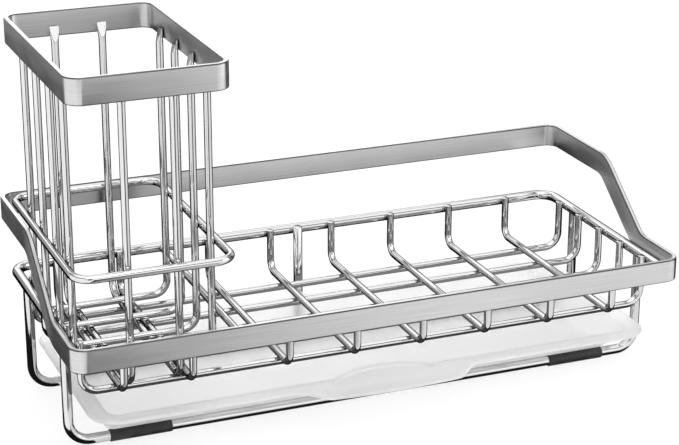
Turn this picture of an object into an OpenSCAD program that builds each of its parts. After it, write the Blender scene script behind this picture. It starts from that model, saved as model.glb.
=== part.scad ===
// Kitchen sink caddy of welded stainless wire and flat strap.
// A shallow wire basket hangs in a guard band on two stand wires, a tall holder
// lifts out of the bay at the left, and a drip tray slides out at the front.
// The origin is at the middle of the overall box, on the counter.
// +X is to the right, -Y is the front and +Z is up.

/* [Rack] */
// Overall length, over the guard band
rack_l = 270; // [255:1:300]
// Overall depth, over the guard band
rack_w = 120; // [116:1:132]
// Length of the holder's bay, from the left rim wire to the divider
bay_l = 66.9; // [64:0.1:72]

/* [Guard band] */
// Thickness of the flat strap
strap_t = 2.2; // [1.6:0.1:2.6]
// Width of the flat strap
strap_h = 10; // [9:0.5:13]
// Height of the band's top edge at the front
band_front_top = 54.7; // [53:0.1:60]
// How much higher the top edge is at the back
band_rise = 26.6; // [18:0.1:32]
// From the front to the corner where the side starts to climb
band_front_run = 33; // [28:1:40]
// Depth of the climbing stretch
band_slope_run = 34.5; // [30:0.5:40]
// Radius of the bends at both ends of the climb, at the strap's middle line
band_bend_r = 15; // [10:0.5:18]
// Outer corner radius, seen from above
band_corner_r = 7; // [5:0.5:9]

/* [Basket] */
// Diameter of the rim wire
rim_d = 4.5; // [4:0.1:5]
// From the band's top edge at the front down to the rim's middle line
rim_drop = 6.8; // [5:0.1:7]
// Corner radius of the rim, at its middle line
rim_corner_r = 8; // [6:0.5:10]
// Diameter of the thinner wires of the basket and the holder
wire_d = 3.2; // [2.6:0.1:3.4]
// From the rim down to the long wires under the basket
basket_depth = 19.9; // [17:0.1:21]
// Bend radius of the long wires, at the middle line
long_bend_r = 7; // [5:0.5:9]
// Bend radius of the cross wires, at the middle line
cross_bend_r = 5; // [4:0.5:6]
// From the front rim wire to the first long wire
long_margin_front = 16; // [13:0.5:20]
// From the last long wire to the back rim wire
long_margin_back = 18.4; // [15:0.1:22]
// From the left rim wire to the first cross wire in the bay
bay_margin_left = 18; // [17:0.5:19]
// From the second cross wire in the bay to the divider
bay_margin_right = 20.3; // [19.5:0.1:20.5]
// From the divider to the first cross wire of the open basket
cross_margin_left = 20.9; // [15:0.1:25]
// From the last cross wire to the right rim wire
cross_margin_right = 24.9; // [18:0.1:28]

/* [Stand] */
// Diameter of the stand wires
leg_d = 4.2; // [3.8:0.1:4.4]
// Distance of the stand wires from the front and from the back
stand_inset = 30; // [27:0.5:33]
// Bend radius of the stand wires, at the middle line
stand_bend_r = 9; // [7:0.5:12]
// Outer diameter of the rubber foot sleeves
sleeve_d = 5.2; // [5:0.1:6]
// Length of the foot sleeves
sleeve_l = 26.5; // [20:0.5:35]
// From the end of the rack to the sleeves
sleeve_inset = 21.3; // [18:0.1:30]
// Depth of the flat that the sleeves stand on
sleeve_flat = 0.15; // [0.1:0.05:0.25]

/* [Tall holder] */
// Height of the holder, from its lowest wires to its top edge
holder_h = 130.8; // [110:0.1:150]
// Width of the holder's strap
holder_strap_h = 11; // [9:0.5:13]
// Outer corner radius of the holder's strap
holder_corner_r = 7; // [5:0.5:9]
// Height of the ring above the holder's lowest wires
ring_h = 50.2; // [48:0.1:70]
// Diameter of the ring wire
ring_d = 3.5; // [3:0.1:3.8]
// Corner radius of the ring, at its middle line
ring_corner_r = 8; // [6:0.5:10]
// Clearance between the holder's wires and the front of the bay
holder_front_gap = 4.1; // [3.6:0.1:6]
// Clearance between the holder's wires and the divider
holder_divider_gap = 1.3; // [0.5:0.1:2]
// Distance between the two cross wires of the holder
holder_cross_pitch = 20.5; // [19:0.1:21]
// How far the pair of cross wires lies left of the holder's middle
holder_cross_shift = 0.8; // [0.5:0.1:1.2]
// Bend radius of the holder's wires, at the middle line
holder_bend_r = 6.5; // [5:0.5:8]
// Height of the pressed wire ends
tab_h = 6.6; // [5:0.1:8]
// Width of the pressed wire ends
tab_w = 3.9; // [3.5:0.1:4.5]
// Thickness of the pressed wire ends at the tip
tab_t = 1.2; // [0.8:0.1:1.6]
// From the holder's top edge down to the tips of the wire ends
tab_drop = 6.4; // [3:0.1:8]

/* [Drip tray] */
// Height of the tray
tray_h = 14.3; // [10:0.1:17]
// Thickness of the plastic
tray_t = 1.6; // [1.2:0.1:2]
// Outer corner radius of the tray
tray_corner_r = 13; // [12:0.5:16]
// Width of the flange round the well
flange_w = 6; // [4:0.5:8]
// How far the side and back walls of the well lean in towards the floor
wall_lean = 4; // [2:0.5:5]
// How far the front wall slopes in towards the floor
front_lean = 15; // [13:0.5:16]
// Radius of the edge round the floor
floor_edge_r = 3; // [2.5:0.5:4]
// Clearance between the tray and the legs at each end
tray_side_gap = 3.1; // [1:0.1:4]
// Clearance between the tray and the middle leg
tray_back_gap = 1.15; // [0.5:0.05:3]
// From the band's front face back to the tray's front edge
tray_front_inset = 5.4; // [3:0.1:8]
// How far the grip lip reaches out of the tray's front edge
lip_reach = 11.2; // [9:0.1:14]
// How much the lip's front edge bows out in the middle
lip_bow = 1.3; // [0:0.1:2]
// Width of the straight part of the grip lip
lip_w = 56; // [40:1:70]
// Width of the sweep at each end of the grip lip
lip_sweep = 13; // [8:1:20]
// Width of the thumb recess
recess_w = 48; // [36:1:54]
// From the straight side of the recess back to the top of its curved side
recess_run = 9.6; // [8:0.1:11]
// Depth of the thumb recess
recess_t = 0.9; // [0.4:0.1:1]
// From the tray's front edge in to the straight side of the recess
recess_in = 2.6; // [2:0.1:4]
// Width of the shelf that carries the curved side of the recess
shelf_rim = 2.4; // [2:0.1:3]

/* [Clearances] */
// Clearance between pieces that lift or slide
fit = 0.3; // [0.25:0.05:0.4]
// Depth to which welded wires melt into each other
weld = 0.03; // [0.01:0.01:0.04]
// Clearance between a rubber sleeve and its wire
sleeve_fit = 0.02; // [0.01:0.01:0.05]

/* [Hidden] */

$fn = 48;
// Overrun of every cut
cut = 1;
// Steps in each round stretch of an outline
arc_steps = 10;
bay_wires = 2;
basket_wires = 6;
long_wires = 5;
holder_long_wires = 4;

// Angle of the band's climb and the places of its two bends
climb = atan2(band_rise, band_slope_run);
band_back_top = band_front_top + band_rise;
bend_tangent = band_bend_r * tan(climb / 2);
bend_offset = strap_h / 2 * tan(climb / 2);
low_bend = [
    band_front_run + bend_offset - bend_tangent,
    band_front_top - strap_h / 2 + band_bend_r
];
high_bend = [
    band_front_run + band_slope_run + bend_offset + bend_tangent,
    band_back_top - strap_h / 2 - band_bend_r
];

// Rim and the wires that hang inside it
rim_inset = strap_t + rim_d / 2 - weld;
rim_z = band_front_top - rim_drop;
rim_top = rim_z + rim_d / 2;
rim_inner = rim_inset + rim_d / 2;
wire_inset = rim_inner + wire_d / 2 - weld;
long_z = rim_z - basket_depth;
cross_z = long_z + wire_d - weld;
divider_x = rim_inset + bay_l;
long_pitch = (rack_w - 2 * rim_inset - long_margin_front - long_margin_back) / (long_wires - 1);
bay_pitch = bay_l - bay_margin_left - bay_margin_right;
basket_first_x = divider_x + cross_margin_left;
basket_last_x = rack_l - rim_inset - cross_margin_right;
basket_pitch = (basket_last_x - basket_first_x) / (basket_wires - 1);

// Stand
runner_z = sleeve_d / 2 - sleeve_flat;
mid_leg_y = rack_w - rim_inner - leg_d / 2 + weld;
// Where the mid leg stands, in pitches from the first cross wire of the open basket
mid_leg_share = 1.441;
mid_leg_x = basket_first_x + mid_leg_share * basket_pitch;
back_runner_y = rack_w - stand_inset;
runner_cope_y = back_runner_y + leg_d / 4;

// Tall holder: the space inside its strap, and its levels
holder_left = rim_inner + fit;
holder_right = divider_x - wire_d / 2 - holder_divider_gap;
holder_front = rim_inner + holder_front_gap;
holder_back = rack_w - rim_inner - fit;
holder_mid_x = (holder_left + holder_right) / 2;
holder_mid_y = (holder_front + holder_back) / 2;
holder_in_l = holder_right - holder_left;
holder_in_w = holder_back - holder_front;
holder_cross_z = long_z + wire_d + fit;
holder_long_z = holder_cross_z + wire_d - weld;
holder_bottom = holder_cross_z - wire_d / 2;
holder_top = holder_bottom + holder_h;
holder_ring_z = holder_bottom + ring_h;
tab_z = holder_top - tab_drop - tab_h;
// Where each long wire of the holder stands between two long wires of the basket
holder_long_shares = [0.54, 0.62, 0.71, 0.79];

// Drip tray
tray_z = runner_z + sleeve_d / 2 + fit;
tray_l = rack_l - 2 * (rim_inset + leg_d / 2 + tray_side_gap);
tray_front = tray_front_inset;
tray_back = mid_leg_y - leg_d / 2 - tray_back_gap;
tray_w = tray_back - tray_front;
tray_mid_y = (tray_front + tray_back) / 2;
lip_half = lip_w / 2 + lip_sweep;
lip_out = lip_reach - tray_front;
recess_front = tray_front + recess_in;
recess_r = (recess_w * recess_w / 4 + recess_run * recess_run) / (2 * recess_run);
lip_steps = 40;

steel = [0.78, 0.79, 0.8];
rubber = [0.16, 0.16, 0.17];
frosted = [0.93, 0.95, 0.96];

// Place of a long wire, counted from 1
function long_y(i) = rim_inset + long_margin_front + (i - 1) * long_pitch;

// Place of a cross wire, counted from 1: two in the bay, then those of the open basket
function cross_x(i) = i <= bay_wires
    ? rim_inset + bay_margin_left + (i - 1) * bay_pitch
    : basket_first_x + (i - bay_wires - 1) * basket_pitch;

// Place of a long wire of the holder, counted from 1
function holder_long_y(i) = long_y(i) + holder_long_shares[i - 1] * long_pitch;

// Points of an arc about a centre
function arc(centre, r, from, to) = [
    for (i = [0 : arc_steps])
        let (a = from + (to - from) * i / arc_steps)
            centre + r * [cos(a), sin(a)]
];

// Smooth step from 0 to 1
function ease(t) = let (s = min(max(t, 0), 1)) s * s * (3 - 2 * s);

// Moves from the rack's front left corner to the middle of the overall box
module place() {
    translate([-rack_l / 2, -(rack_w - lip_out) / 2, 0])
        children();
}

// Rectangle with round corners, from its own corner
module round_rect(l, w, r) {
    translate([r, 0])
        square([l - 2 * r, w]);
    translate([0, r])
        square([l, w - 2 * r]);
    for (x = [r, l - r])
        for (y = [r, w - r])
            translate([x, y])
                circle(r);
}

// Quarter bend of round wire, from -Z round to +X, about the origin
module quarter_bend(r, d) {
    rotate([90, 0, 0])
        rotate([0, 0, -90])
            rotate_extrude(angle = 90)
                translate([r, 0])
                    circle(d = d);
}

// U of round wire along X: its low run is at height zero and both ends stand up
module u_wire(span, rise, r, d) {
    for (side = [0, 1])
        mirror([side, 0, 0]) {
            translate([span / 2, 0, r])
                cylinder(d = d, h = rise - r);
            translate([span / 2 - r, 0, r])
                quarter_bend(r, d);
        }
    translate([r - span / 2, 0, 0])
        rotate([0, 90, 0])
            cylinder(d = d, h = span - 2 * r);
}

// Closed loop of round wire, level and centred
module wire_loop(l, w, r, d) {
    for (side_x = [0, 1])
        for (side_y = [0, 1])
            mirror([side_x, 0, 0])
                mirror([0, side_y, 0])
                    translate([l / 2 - r, w / 2 - r, 0])
                        rotate_extrude(angle = 90)
                            translate([r, 0])
                                circle(d = d);
    for (y = [-w / 2, w / 2])
        translate([r - l / 2, y, 0])
            rotate([0, 90, 0])
                cylinder(d = d, h = l - 2 * r);
    for (x = [-l / 2, l / 2])
        translate([x, r - w / 2, 0])
            rotate([-90, 0, 0])
                cylinder(d = d, h = w - 2 * r);
}

// Closed flat strap, standing on edge, from its own outer corner
module strap_loop(l, w, r, h) {
    linear_extrude(h)
        difference() {
            round_rect(l, w, r);
            translate([strap_t, strap_t])
                round_rect(l - 2 * strap_t, w - 2 * strap_t, r - strap_t);
        }
}

// The band's side view: the strap climbs from the low front to the high back
module band_side() {
    inner_r = band_bend_r - strap_h / 2;
    outer_r = band_bend_r + strap_h / 2;
    translate([-cut, 0, 0])
        rotate([90, 0, 90])
            linear_extrude(rack_l + 2 * cut)
                polygon(concat(
                    [[-cut, band_front_top]],
                    arc(low_bend, inner_r, -90, climb - 90),
                    arc(high_bend, outer_r, 90 + climb, 90),
                    [[rack_w + cut, band_back_top]],
                    [[rack_w + cut, band_back_top - strap_h]],
                    arc(high_bend, inner_r, 90, 90 + climb),
                    arc(low_bend, outer_r, climb - 90, -90),
                    [[-cut, band_front_top - strap_h]]
                ));
}

module guard_band() {
    color(steel)
        place()
            intersection() {
                strap_loop(rack_l, rack_w, band_corner_r, band_back_top + cut);
                band_side();
            }
}

module basket_rim() {
    color(steel)
        place()
            translate([rack_l / 2, rack_w / 2, rim_z])
                wire_loop(rack_l - 2 * rim_inset, rack_w - 2 * rim_inset, rim_corner_r, rim_d);
}

// Straight bar across the rim, with both ends shaped to the rim wire
module bay_divider() {
    color(steel)
        place()
            difference() {
                translate([divider_x, rim_inset, rim_z])
                    rotate([-90, 0, 0])
                        cylinder(d = wire_d, h = rack_w - 2 * rim_inset);
                for (y = [rim_inset, rack_w - rim_inset])
                    translate([divider_x - wire_d, y, rim_z])
                        rotate([0, 90, 0])
                            cylinder(d = rim_d - 2 * weld, h = 2 * wire_d);
            }
}

module cross_wire(i) {
    color(steel)
        place()
            translate([cross_x(i), rack_w / 2, cross_z])
                rotate([0, 0, 90])
                    u_wire(rack_w - 2 * wire_inset, rim_top - cross_z, cross_bend_r, wire_d);
}

module long_wire(i) {
    color(steel)
        place()
            translate([rack_l / 2, long_y(i), long_z])
                u_wire(rack_l - 2 * wire_inset, rim_top - long_z, long_bend_r, wire_d);
}

// Stand wire under the rim's two ends, with its tops shaped to the rim wire
module stand_wire(y) {
    color(steel)
        place()
            difference() {
                translate([rack_l / 2, y, runner_z])
                    u_wire(rack_l - 2 * rim_inset, rim_z - runner_z, stand_bend_r, leg_d);
                for (x = [rim_inset, rack_l - rim_inset])
                    translate([x, y - leg_d, rim_z])
                        rotate([-90, 0, 0])
                            cylinder(d = rim_d - 2 * weld, h = 2 * leg_d);
            }
}

module stand_front_wire() {
    stand_wire(stand_inset);
}

module stand_back_wire() {
    stand_wire(back_runner_y);
}

// Leg inside the middle of the back rim, bent forward onto the back runner
module stand_mid_leg() {
    color(steel)
        place()
            difference() {
                translate([mid_leg_x, 0, 0]) {
                    translate([0, mid_leg_y, runner_z + stand_bend_r])
                        cylinder(d = leg_d, h = rim_top - runner_z - stand_bend_r);
                    translate([0, mid_leg_y - stand_bend_r, runner_z + stand_bend_r])
                        rotate([0, 0, 90])
                            quarter_bend(stand_bend_r, leg_d);
                    translate([0, runner_cope_y, runner_z])
                        rotate([-90, 0, 0])
                            cylinder(d = leg_d, h = mid_leg_y - stand_bend_r - runner_cope_y);
                }
                translate([mid_leg_x - leg_d, back_runner_y, runner_z])
                    rotate([0, 90, 0])
                        cylinder(d = leg_d - 2 * weld, h = 2 * leg_d);
            }
}

// Rubber sleeve on a runner, counted from the front left, with a flat to stand on
module foot_sleeve(i) {
    x = i % 2 == 1 ? sleeve_inset : rack_l - sleeve_inset - sleeve_l;
    y = i <= 2 ? stand_inset : back_runner_y;
    color(rubber)
        place()
            difference() {
                translate([x, y, runner_z])
                    rotate([0, 90, 0])
                        cylinder(d = sleeve_d, h = sleeve_l);
                translate([x - cut, y, runner_z])
                    rotate([0, 90, 0])
                        cylinder(d = leg_d + 2 * sleeve_fit, h = sleeve_l + 2 * cut);
                translate([x - cut, y - sleeve_d, -sleeve_d])
                    cube([sleeve_l + 2 * cut, 2 * sleeve_d, sleeve_d]);
            }
}

module holder_band() {
    color(steel)
        place()
            translate([holder_left - strap_t, holder_front - strap_t, holder_top - holder_strap_h])
                strap_loop(
                    holder_in_l + 2 * strap_t, holder_in_w + 2 * strap_t,
                    holder_corner_r, holder_strap_h
                );
}

module holder_ring() {
    color(steel)
        place()
            translate([holder_mid_x, holder_mid_y, holder_ring_z])
                wire_loop(
                    holder_in_l + ring_d - 2 * weld, holder_in_w + ring_d - 2 * weld,
                    ring_corner_r, ring_d
                );
}

// Wire end pressed to a wedge that lies flat against the strap at +X
module pressed_end() {
    intersection() {
        translate([0, tab_w / 2, 0])
            rotate([90, 0, 0])
                linear_extrude(tab_w)
                    polygon([
                        [-wire_d / 2, 0], [wire_d / 2, 0],
                        [wire_d / 2, tab_h], [wire_d / 2 - tab_t, tab_h]
                    ]);
        translate([-wire_d, 0, 0])
            rotate([90, 0, 90])
                linear_extrude(2 * wire_d)
                    polygon([
                        [-wire_d / 2, 0], [wire_d / 2, 0], [tab_w / 2, tab_h / 3], [tab_w / 2, tab_h],
                        [-tab_w / 2, tab_h], [-tab_w / 2, tab_h / 3]
                    ]);
    }
}

// U of the holder along X, with both ends pressed
module holder_wire(span, low_z) {
    u_wire(span, tab_z - low_z, holder_bend_r, wire_d);
    for (side = [0, 1])
        mirror([side, 0, 0])
            translate([span / 2, 0, tab_z - low_z])
                pressed_end();
}

module holder_long_wire(i) {
    color(steel)
        place()
            translate([holder_mid_x, holder_long_y(i), holder_long_z])
                holder_wire(holder_in_l - wire_d, holder_long_z);
}

module holder_cross_wire(i) {
    x = holder_mid_x - holder_cross_shift + (i - 1.5) * holder_cross_pitch;
    color(steel)
        place()
            translate([x, holder_mid_y, holder_cross_z])
                rotate([0, 0, 90])
                    holder_wire(holder_in_w - wire_d, holder_cross_z);
}

// Tray outline drawn in by an inset, centred
module tray_outline(inset) {
    l = tray_l - 2 * inset;
    w = tray_w - 2 * inset;
    translate([-l / 2, -w / 2])
        round_rect(l, w, tray_corner_r - inset);
}

// Outline of the grip lip, from the tray's front edge outwards
module lip_outline() {
    polygon(concat(
        [[lip_half, flange_w], [-lip_half, flange_w]],
        [
            for (i = [0 : lip_steps])
                let (
                    x = lip_half * (2 * i / lip_steps - 1),
                    reach = lip_reach - lip_bow * pow(2 * x / lip_w, 2)
                )
                    [x, -reach * ease((lip_half - abs(x)) / lip_sweep)]
        ]
    ));
}

// Well of the tray: a leaning block, sloped at the front, with a round edge at the floor
module well_block(inset, base, top) {
    r = tray_corner_r - flange_w - inset;
    edge = floor_edge_r - inset;
    l = tray_l / 2 - flange_w - inset - r;
    w = tray_w / 2 - flange_w - inset - r;
    hull()
        for (x = [-1, 1])
            for (y = [-1, 1]) {
                translate([x * l, y * w, tray_h - tray_t])
                    cylinder(r = r, h = top - tray_h + tray_t, $fn = 32);
                translate([x * (l - wall_lean), y * (w - (y < 0 ? front_lean : wall_lean)), base + edge])
                    rotate_extrude($fn = 32)
                        translate([r - edge, 0])
                            circle(edge, $fn = 16);
            }
}

// Segment of a circle behind the recess's straight side, with a margin round the arc
module grip_arc(margin) {
    translate([0, recess_front - tray_mid_y])
        intersection() {
            translate([0, recess_run - recess_r])
                circle(recess_r + margin, $fn = 96);
            translate([-recess_w, 0])
                square([2 * recess_w, recess_w]);
        }
}

module drip_tray() {
    color(frosted)
        place()
            translate([rack_l / 2, tray_mid_y, tray_z])
                difference() {
                    union() {
                        translate([0, 0, tray_h - tray_t])
                            linear_extrude(tray_t) {
                                tray_outline(0);
                                translate([0, -tray_w / 2])
                                    lip_outline();
                            }
                        well_block(0, 0, tray_h);
                    }
                    difference() {
                        well_block(tray_t, tray_t, tray_h + cut);
                        linear_extrude(tray_h)
                            grip_arc(shelf_rim);
                    }
                    translate([0, 0, tray_h - recess_t])
                        linear_extrude(recess_t + cut)
                            grip_arc(0);
                }
}

guard_band();
basket_rim();
bay_divider();
for (i = [1 : bay_wires + basket_wires])
    cross_wire(i);
for (i = [1 : long_wires])
    long_wire(i);
stand_front_wire();
stand_back_wire();
stand_mid_leg();
for (i = [1 : 4])
    foot_sleeve(i);
holder_band();
holder_ring();
for (i = [1 : holder_long_wires])
    holder_long_wire(i);
for (i = [1 : 2])
    holder_cross_wire(i);
drip_tray();
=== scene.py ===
"""Looks of a kitchen sink caddy of stainless wire and strap.

The rack carries an open basket inside a flat guard band, a tall holder stands in its
left bay, and a frosted drip tray slides under the basket. Sizes are in metres, taken
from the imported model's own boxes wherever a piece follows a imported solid.
"""

from __future__ import annotations

import logging
import math
from dataclasses import dataclass, field
from enum import Enum
from typing import Callable, Iterable, Sequence

import bpy
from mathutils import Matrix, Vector


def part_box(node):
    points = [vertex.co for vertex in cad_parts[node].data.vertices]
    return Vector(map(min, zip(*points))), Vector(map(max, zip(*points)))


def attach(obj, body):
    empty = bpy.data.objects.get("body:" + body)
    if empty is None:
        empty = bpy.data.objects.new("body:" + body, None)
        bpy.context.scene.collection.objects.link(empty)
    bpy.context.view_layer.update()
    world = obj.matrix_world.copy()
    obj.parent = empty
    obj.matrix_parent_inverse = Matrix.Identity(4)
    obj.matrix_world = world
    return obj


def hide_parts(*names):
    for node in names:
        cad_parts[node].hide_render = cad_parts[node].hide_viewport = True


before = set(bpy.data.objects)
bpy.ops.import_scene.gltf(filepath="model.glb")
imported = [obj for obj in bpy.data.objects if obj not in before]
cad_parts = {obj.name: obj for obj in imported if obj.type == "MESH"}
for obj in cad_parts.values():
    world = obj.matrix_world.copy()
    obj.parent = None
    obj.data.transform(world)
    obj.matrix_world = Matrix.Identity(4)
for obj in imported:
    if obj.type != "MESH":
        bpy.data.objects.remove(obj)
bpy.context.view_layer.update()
LOG = logging.getLogger("caddy")
MM = 0.001

Ring = list[tuple[float, float]]
Place = tuple[float, float, float]
Colour = tuple[float, float, float]
Greys = Sequence[tuple[float, float]]
Piece = bpy.types.Object
Material = bpy.types.Material
Socket = bpy.types.NodeSocket

# The straps and the painted shade on their rolled edges share these sizes.
STRAP_THICKNESS = 2.2 * MM
STRAP_EDGE = 0.55 * MM
GUARD_WIDTH = 10 * MM
HOLDER_WIDTH = 11 * MM

# Points round a section: of a plain wire, of a closed loop, and of what needs a finer round.
WIRE_STEPS = 24
LOOP_STEPS = 28
FINE_STEPS = 40

# Faces that meet at more than this angle keep a crisp edge.
SHARP_ANGLE = math.radians(50)

# Name of the UV map, in metres along and round a swept piece.
UV_MAP = "surface"


class Along(Enum):
    """Direction in which a U of wire runs."""

    LENGTH = "length"
    DEPTH = "depth"


class WireEnd(Enum):
    """How the top of a wire ends."""

    CUT = "cut"
    PRESSED = "pressed"


@dataclass
class Sweep:
    """A section carried along a path.

    Attributes:
        points: Places of the path.
        sides: One direction per place, which the section's first axis follows.
        closed: Whether the path joins up.
    """

    points: list[Vector]
    sides: list[Vector]
    closed: bool = False

    def tangents(self) -> list[Vector]:
        """Directions of the path, halfway between the stretches on both sides of a place."""
        count = len(self.points)
        steps = [(self.points[(i + 1) % count] - self.points[i]).normalized() for i in range(count)]
        found = []
        for i in range(count):
            before, after = steps[i - 1], steps[i]
            if not self.closed and i == 0:
                before = after
            if not self.closed and i == count - 1:
                after = before
            found.append((before + after).normalized())
        return found

    def build(self, name: str, section: Callable[[int], Ring]) -> Piece:
        """Makes the swept mesh, with a UV map in metres along and round it.

        Args:
            name: Name of the object and its mesh.
            section: Gives the ring of (side, up) offsets at a place of the path.

        Returns:
            The new object, smooth shaded.
        """
        rings = [section(i) for i in range(len(self.points))]
        size, count = len(rings[0]), len(rings)
        verts = []
        for point, side, tangent, ring in zip(self.points, self.sides, self.tangents(), rings):
            flat = (side - tangent * side.dot(tangent)).normalized()
            up = tangent.cross(flat)
            verts += [point + flat * a + up * b for a, b in ring]
        run = [0.0]
        for i in range(count):
            run.append(run[-1] + (self.points[(i + 1) % count] - self.points[i]).length)
        girth = [0.0]
        for k in range(size):
            a, b = rings[0][k], rings[0][(k + 1) % size]
            girth.append(girth[-1] + math.hypot(b[0] - a[0], b[1] - a[1]))
        uvs = []
        for i in range(count if self.closed else count - 1):
            start, end = run[i], run[i + 1]
            for low, high in zip(girth, girth[1:]):
                uvs += [(start, low), (start, high), (end, high), (end, low)]
        if not self.closed:
            uvs += [(0.0, 0.0)] * (2 * size)
        return make_object(name, verts, ring_faces(count, size, self.closed), uvs)


def ring_faces(rings: int, size: int, closed: bool = False) -> list[tuple[int, ...]]:
    """Faces between rings that follow each other.

    Args:
        rings: Number of rings.
        size: Number of points in each ring.
        closed: Whether the last ring joins the first. If not, each end gets a cap.

    Returns:
        The vertex numbers of each face.
    """
    faces: list[tuple[int, ...]] = []
    for i in range(rings if closed else rings - 1):
        j = (i + 1) % rings
        for k in range(size):
            m = (k + 1) % size
            faces.append((i * size + k, i * size + m, j * size + m, j * size + k))
    if not closed:
        last = (rings - 1) * size
        faces.append(tuple(reversed(range(size))))
        faces.append(tuple(range(last, last + size)))
    return faces


def make_object(
    name: str,
    verts: Sequence[Vector],
    faces: Sequence[tuple[int, ...]],
    uvs: Sequence[tuple[float, float]] = (),
) -> Piece:
    """Makes a smooth shaded mesh object.

    Args:
        name: Name of the object and its mesh.
        verts: Places of the vertices.
        faces: Vertex numbers of each face.
        uvs: One pair per face corner, or nothing.

    Returns:
        The new object, linked to the scene.
    """
    mesh = bpy.data.meshes.new(name)
    mesh.from_pydata([tuple(v) for v in verts], [], faces)
    if uvs:
        layer = mesh.uv_layers.new(name=UV_MAP)
        for loop, pair in zip(layer.data, uvs):
            loop.uv = pair
    mesh.validate()
    mesh.shade_smooth()
    mesh.set_sharp_from_angle(angle=SHARP_ANGLE)
    made = bpy.data.objects.new(name, mesh)
    bpy.context.scene.collection.objects.link(made)
    return made


def circle_ring(radius: float, steps: int = WIRE_STEPS) -> Ring:
    """Ring of a round section."""
    turns = [math.tau * k / steps for k in range(steps)]
    return [(radius * math.cos(a), radius * math.sin(a)) for a in turns]


def corner_turns(steps: int) -> list[tuple[int, int, float]]:
    """Turns round the four corners of a rectangle, counter-clockwise from the right side.

    Args:
        steps: Stretches in each corner.

    Returns:
        For each place, the signs of its corner along both axes, and its angle.
    """
    turns = []
    for turn, (sx, sy) in enumerate(((1, 1), (-1, 1), (-1, -1), (1, -1))):
        turns += [(sx, sy, math.pi / 2 * (turn + k / steps)) for k in range(steps + 1)]
    return turns


def soft_bar_ring(width: float, height: float, edge: float, steps: int = 5) -> Ring:
    """Ring of a flat bar with rounded edges.

    Args:
        width: Size along the section's side axis.
        height: Size along the section's up axis.
        edge: Radius of the four edges.
        steps: Stretches in each edge's quarter.

    Returns:
        The ring's points.
    """
    across, up = width / 2 - edge, height / 2 - edge
    turns = corner_turns(steps)
    return [(sx * across + edge * math.cos(a), sy * up + edge * math.sin(a)) for sx, sy, a in turns]


def u_outline(span: float, rise: float, bend: float, steps: int = 12) -> Ring:
    """Outline of a U: (place along it, height) from one top down, along and up again.

    Args:
        span: Distance between the two standing ends.
        rise: Height of the ends over the low run.
        bend: Bend radius at the middle line.
        steps: Stretches in each bend.

    Returns:
        The outline's points.
    """
    half = [(-span / 2, rise)]
    for k in range(steps + 1):
        a = math.pi / 2 * k / steps
        half.append((bend - span / 2 - bend * math.cos(a), bend - bend * math.sin(a)))
    return half + [(-a, z) for a, z in reversed(half)]


def loop_outline(
    length: float, depth: float, corner: float, steps: int = 14
) -> list[tuple[Vector, Vector]]:
    """Rounded rectangle, centred, as (place, outward direction) pairs.

    Args:
        length: Size along X.
        depth: Size along Y.
        corner: Corner radius.
        steps: Stretches in each corner.

    Returns:
        The pairs, counter-clockwise from the right side.
    """
    pairs = []
    for sx, sy, a in corner_turns(steps):
        centre = Vector((sx * (length / 2 - corner), sy * (depth / 2 - corner), 0))
        out = Vector((math.cos(a), math.sin(a), 0))
        pairs.append((centre + out * corner, out))
    return pairs


def numbered(stem: str, count: int) -> list[str]:
    """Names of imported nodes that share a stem, from 1 up."""
    return [f"{stem}_{i}" for i in range(1, count + 1)]


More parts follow.
